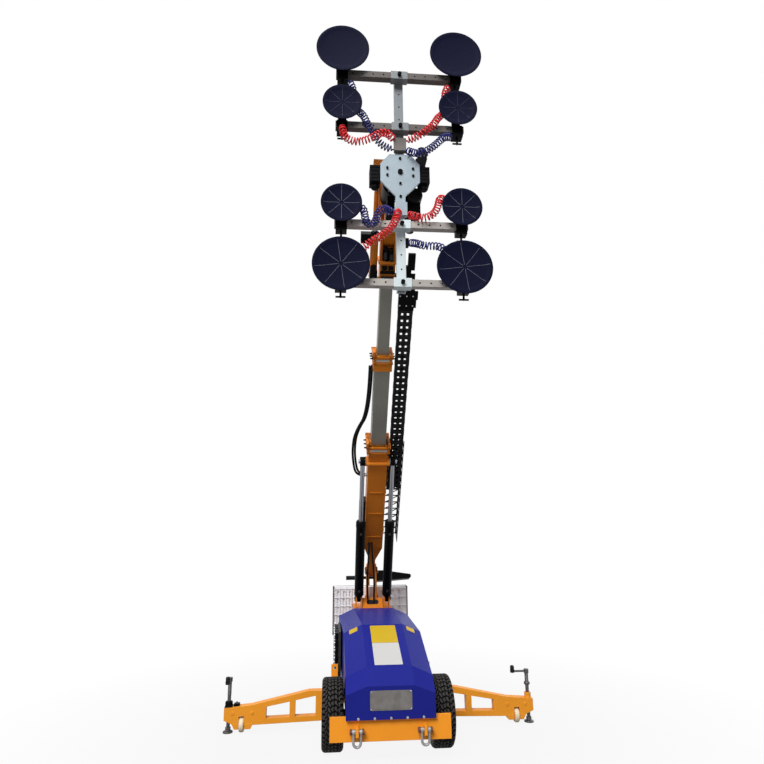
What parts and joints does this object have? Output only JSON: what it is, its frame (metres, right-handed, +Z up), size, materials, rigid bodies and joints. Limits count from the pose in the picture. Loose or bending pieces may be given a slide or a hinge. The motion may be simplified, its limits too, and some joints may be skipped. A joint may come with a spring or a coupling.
{
  "type": "glass panel lifter",
  "caption": "Wheeled vacuum glazing lifter with bonnet, folding outriggers, telescopic boom and tilting, turning frame of suction cups on drilled crossbars.",
  "frame": {"origin": "on the ground under the middle of the machine's overall box", "axes": "+Z up, +Y from the suction frame at the front to the tiller at the rear, +X to the right seen from the front"},
  "size_m": [2.126, 3.2051, 4.127],
  "materials": {
    "orange_paint": "gloss",
    "blue_paint": "gloss",
    "grey_steel": "satin",
    "bright_steel": "satin",
    "chrome": "polished",
    "galvanised": "matte",
    "black_paint": "satin",
    "black_plastic": "matte",
    "tyre_rubber": "matte",
    "cup_rubber": "matte",
    "cream_plastic": "satin",
    "red_hose": "gloss",
    "blue_hose": "gloss",
    "hose_rubber": "matte",
    "light_grey": "satin",
    "battery_case": "matte"
  },
  "bodies": {
    "chassis": {"chassis_frame": "orange_paint", "drive_axle": "black_paint", "bonnet": "blue_paint", "pins_and_screws": "bright_steel", "boom_tower": "orange_paint", "battery_pack": "battery_case", "hydraulic_unit": "black_paint", "rear_housing": "light_grey", "tower_hoses": "hose_rubber"},
    "boom": {"boom_base": "orange_paint", "valve_box": "black_plastic", "chain_tray": "black_paint", "chain_fixed_run": "black_plastic", "boom_hoses": "hose_rubber"},
    "middle": {"boom_middle": "grey_steel", "middle_collar": "orange_paint"},
    "top": {"boom_top": "grey_steel", "boom_tip": "orange_paint", "chain_moving_run": "black_plastic"},
    "chain_turn": {"chain_bend": "black_plastic"},
    "lift_barrels": {"lift_barrels": "black_paint"},
    "lift_rods": {"lift_rods": "chrome"},
    "knuckle": {"tilt_knuckle": "orange_paint"},
    "tilt_barrel": {"tilt_barrel": "orange_paint"},
    "tilt_rod": {"tilt_rod": "chrome"},
    "pan": {"pan_yoke": "orange_paint", "rotator_drive": "black_paint"},
    "frame": {"mount_plate": "galvanised", "frame_spine": "galvanised", "crossbars": "galvanised", "frame_fasteners": "black_paint", "cup_carriers": "black_paint", "vacuum_units": "black_plastic", "red_hoses": "red_hose", "blue_hoses": "blue_hose"},
    "steering": {"steering_fork": "black_paint"},
    "rear_axle": {"rear_wheels": "cream_plastic"},
    "tiller": {"tiller": "black_paint"},
    "top_left_cup": {"top_left_cup": "cup_rubber"},
    "top_right_cup": {"top_right_cup": "cup_rubber"},
    "upper_left_cup": {"upper_left_cup": "cup_rubber"},
    "upper_right_cup": {"upper_right_cup": "cup_rubber"},
    "lower_left_cup": {"lower_left_cup": "cup_rubber"},
    "lower_right_cup": {"lower_right_cup": "cup_rubber"},
    "bottom_left_cup": {"bottom_left_cup": "cup_rubber"},
    "bottom_right_cup": {"bottom_right_cup": "cup_rubber"},
    "left_wheel": {"left_tyre": "tyre_rubber", "left_rim": "light_grey"},
    "left_outrigger": {"left_outrigger": "orange_paint"},
    "left_castor": {"left_castor": "cream_plastic"},
    "left_jack_foot": {"left_jack_foot": "bright_steel"},
    "left_jack_screw": {"left_jack_screw": "bright_steel"},
    "left_shackle": {"left_shackle": "galvanised"},
    "right_wheel": {"right_tyre": "tyre_rubber", "right_rim": "light_grey"},
    "right_outrigger": {"right_outrigger": "orange_paint"},
    "right_castor": {"right_castor": "cream_plastic"},
    "right_jack_foot": {"right_jack_foot": "bright_steel"},
    "right_jack_screw": {"right_jack_screw": "bright_steel"},
    "right_shackle": {"right_shackle": "galvanised"}
  },
  "joints": [
    {"name": "boom_luff", "type": "hinge", "parent": "chassis", "child": "boom", "pos_m": [0, 1.0575, 0.945], "axis": [-1, 0, 0], "range_deg": [-38, 6], "deforming": ["tower_hoses"]},
    {"name": "lift_swing", "type": "hinge", "parent": "chassis", "child": "lift_barrels", "pos_m": [0, 0.8825, 0.732], "axis": [-1, 0, 0], "range_deg": [-45, 10]},
    {"name": "lift_stroke", "type": "slide", "parent": "lift_barrels", "child": "lift_rods", "axis": [0, -0.5063, 0.8624], "range_m": [-0.21, 0.06]},
    {"name": "middle_slide", "type": "slide", "parent": "boom", "child": "middle", "axis": [0, -0.6388, 0.7694], "range_m": [-0.5, 0], "deforming": ["boom_hoses", "chain_fixed_run", "chain_moving_run"]},
    {"name": "top_slide", "type": "slide", "parent": "middle", "child": "top", "axis": [0, -0.6388, 0.7694], "range_m": [-0.48, 0]},
    {"name": "chain_roll", "type": "slide", "parent": "boom", "child": "chain_turn", "axis": [0, -0.6388, 0.7694], "range_m": [-0.49, 0]},
    {"name": "head_tilt", "type": "hinge", "parent": "top", "child": "knuckle", "pos_m": [0, -0.82048, 3.20703], "axis": [1, 0, 0], "range_deg": [-20, 20]},
    {"name": "tilt_swing", "type": "hinge", "parent": "top", "child": "tilt_barrel", "pos_m": [-0.096, -0.6647, 2.97244], "axis": [1, 0, 0], "range_deg": [-25, 25]},
    {"name": "tilt_stroke", "type": "slide", "parent": "tilt_barrel", "child": "tilt_rod", "axis": [0, -0.7208, 0.6931], "range_m": [-0.08, 0.08]},
    {"name": "head_pan", "type": "hinge", "parent": "knuckle", "child": "pan", "pos_m": [0, -1.0025, 3.24303], "axis": [0, 0, 1], "range_deg": [-25, 25]},
    {"name": "head_rotate", "type": "hinge", "parent": "pan", "child": "frame", "pos_m": [0, -1.4125, 3.24303], "axis": [0, -1, 0], "continuous": true},
    {"name": "top_left_cup_swivel", "type": "hinge", "parent": "frame", "child": "top_left_cup", "pos_m": [-0.325, -1.5605, 3.977], "axis": [1, 0, 0], "range_deg": [-4, 4]},
    {"name": "top_right_cup_swivel", "type": "hinge", "parent": "frame", "child": "top_right_cup", "pos_m": [0.325, -1.5605, 3.977], "axis": [1, 0, 0], "range_deg": [-4, 4]},
    {"name": "upper_left_cup_swivel", "type": "hinge", "parent": "frame", "child": "upper_left_cup", "pos_m": [-0.325, -1.5605, 3.62], "axis": [1, 0, 0], "range_deg": [-4, 4]},
    {"name": "upper_right_cup_swivel", "type": "hinge", "parent": "frame", "child": "upper_right_cup", "pos_m": [0.325, -1.5605, 3.62], "axis": [1, 0, 0], "range_deg": [-4, 4]},
    {"name": "lower_left_cup_swivel", "type": "hinge", "parent": "frame", "child": "lower_left_cup", "pos_m": [-0.325, -1.5605, 3], "axis": [1, 0, 0], "range_deg": [-4, 4]},
    {"name": "lower_right_cup_swivel", "type": "hinge", "parent": "frame", "child": "lower_right_cup", "pos_m": [0.325, -1.5605, 3], "axis": [1, 0, 0], "range_deg": [-4, 4]},
    {"name": "bottom_left_cup_swivel", "type": "hinge", "parent": "frame", "child": "bottom_left_cup", "pos_m": [-0.325, -1.5605, 2.65], "axis": [1, 0, 0], "range_deg": [-4, 4]},
    {"name": "bottom_right_cup_swivel", "type": "hinge", "parent": "frame", "child": "bottom_right_cup", "pos_m": [0.325, -1.5605, 2.65], "axis": [1, 0, 0], "range_deg": [-4, 4]},
    {"name": "left_wheel_spin", "type": "hinge", "parent": "chassis", "child": "left_wheel", "pos_m": [-0.336, -0.3725, 0.205], "axis": [1, 0, 0], "continuous": true},
    {"name": "left_outrigger_fold", "type": "hinge", "parent": "chassis", "child": "left_outrigger", "pos_m": [-0.345, 0.0285, 0.15], "axis": [0, 0, -1], "range_deg": [0, 85]},
    {"name": "left_castor_spin", "type": "hinge", "parent": "left_outrigger", "child": "left_castor", "pos_m": [-0.94, 0.0285, 0.047], "axis": [1, 0, 0], "continuous": true},
    {"name": "left_jack_lift", "type": "slide", "parent": "left_outrigger", "child": "left_jack_foot", "axis": [0, 0, 1], "range_m": [0, 0.024]},
    {"name": "left_jack_turn", "type": "hinge", "parent": "left_jack_foot", "child": "left_jack_screw", "pos_m": [-1.03, 0.0285, 0.33], "axis": [0, 0, 1], "range_deg": [0, 1440]},
    {"name": "left_shackle_swing", "type": "hinge", "parent": "chassis", "child": "left_shackle", "pos_m": [-0.197, -0.6785, 0.19], "axis": [-1, 0, 0], "range_deg": [-10, 100]},
    {"name": "right_wheel_spin", "type": "hinge", "parent": "chassis", "child": "right_wheel", "pos_m": [0.336, -0.3725, 0.205], "axis": [1, 0, 0], "continuous": true},
    {"name": "right_outrigger_fold", "type": "hinge", "parent": "chassis", "child": "right_outrigger", "pos_m": [0.345, 0.0285, 0.15], "axis": [0, 0, 1], "range_deg": [0, 85]},
    {"name": "right_castor_spin", "type": "hinge", "parent": "right_outrigger", "child": "right_castor", "pos_m": [0.94, 0.0285, 0.047], "axis": [1, 0, 0], "continuous": true},
    {"name": "right_jack_lift", "type": "slide", "parent": "right_outrigger", "child": "right_jack_foot", "axis": [0, 0, 1], "range_m": [0, 0.024]},
    {"name": "right_jack_turn", "type": "hinge", "parent": "right_jack_foot", "child": "right_jack_screw", "pos_m": [1.03, 0.0285, 0.33], "axis": [0, 0, 1], "range_deg": [0, 1440]},
    {"name": "right_shackle_swing", "type": "hinge", "parent": "chassis", "child": "right_shackle", "pos_m": [0.197, -0.6785, 0.19], "axis": [-1, 0, 0], "range_deg": [-10, 100]},
    {"name": "steer", "type": "hinge", "parent": "chassis", "child": "steering", "pos_m": [0, 1.0975, 0.25], "axis": [0, 0, 1], "range_deg": [-30, 30]},
    {"name": "rear_spin", "type": "hinge", "parent": "steering", "child": "rear_axle", "pos_m": [0, 1.0975, 0.11], "axis": [1, 0, 0], "continuous": true},
    {"name": "tiller_drop", "type": "hinge", "parent": "steering", "child": "tiller", "pos_m": [0, 1.3925, 0.225], "axis": [-1, 0, 0], "range_deg": [0, 60]}
  ],
  "couplings": [
    {"joint": "lift_swing", "follows": "boom_luff", "ratio": 0.984},
    {"joint": "lift_stroke", "follows": "boom_luff", "m_per_rad": 0.269},
    {"joint": "top_slide", "follows": "middle_slide", "ratio": 0.96},
    {"joint": "chain_roll", "follows": "middle_slide", "ratio": 0.98},
    {"joint": "tilt_swing", "follows": "head_tilt", "ratio": 0.558},
    {"joint": "tilt_stroke", "follows": "head_tilt", "m_per_rad": -0.061},
    {"joint": "left_jack_lift", "follows": "left_jack_turn", "m_per_rad": 0.000955},
    {"joint": "right_jack_lift", "follows": "right_jack_turn", "m_per_rad": 0.000955}
  ]
}
